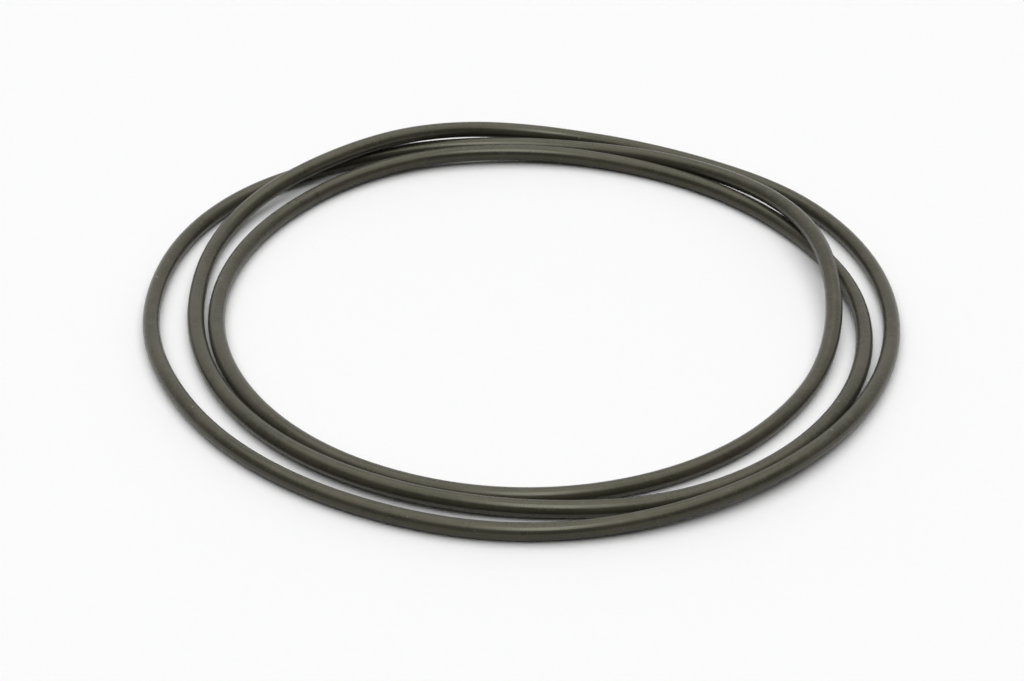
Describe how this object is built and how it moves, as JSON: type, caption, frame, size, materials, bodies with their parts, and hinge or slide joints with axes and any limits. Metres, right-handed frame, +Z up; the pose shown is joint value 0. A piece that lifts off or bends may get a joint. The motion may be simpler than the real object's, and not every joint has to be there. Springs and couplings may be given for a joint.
{
  "type": "rubber o-ring",
  "caption": "Large thin round-section rubber sealing ring, one endless moulded cord, lying loosely coiled on itself on a flat surface",
  "frame": {"origin": "on the surface that the ring lies on, under the middle of the coil's box", "axes": "+Z up from the surface, +X across the coil's widest reach, +Y to the rear"},
  "size_m": [0.1546, 0.1484, 0.0074],
  "materials": {
    "rubber_dark_grey": "satin moulded rubber with faint dust and small light scuffs"
  },
  "bodies": {
    "root": {"o_ring": "rubber_dark_grey"}
  },
  "joints": []
}
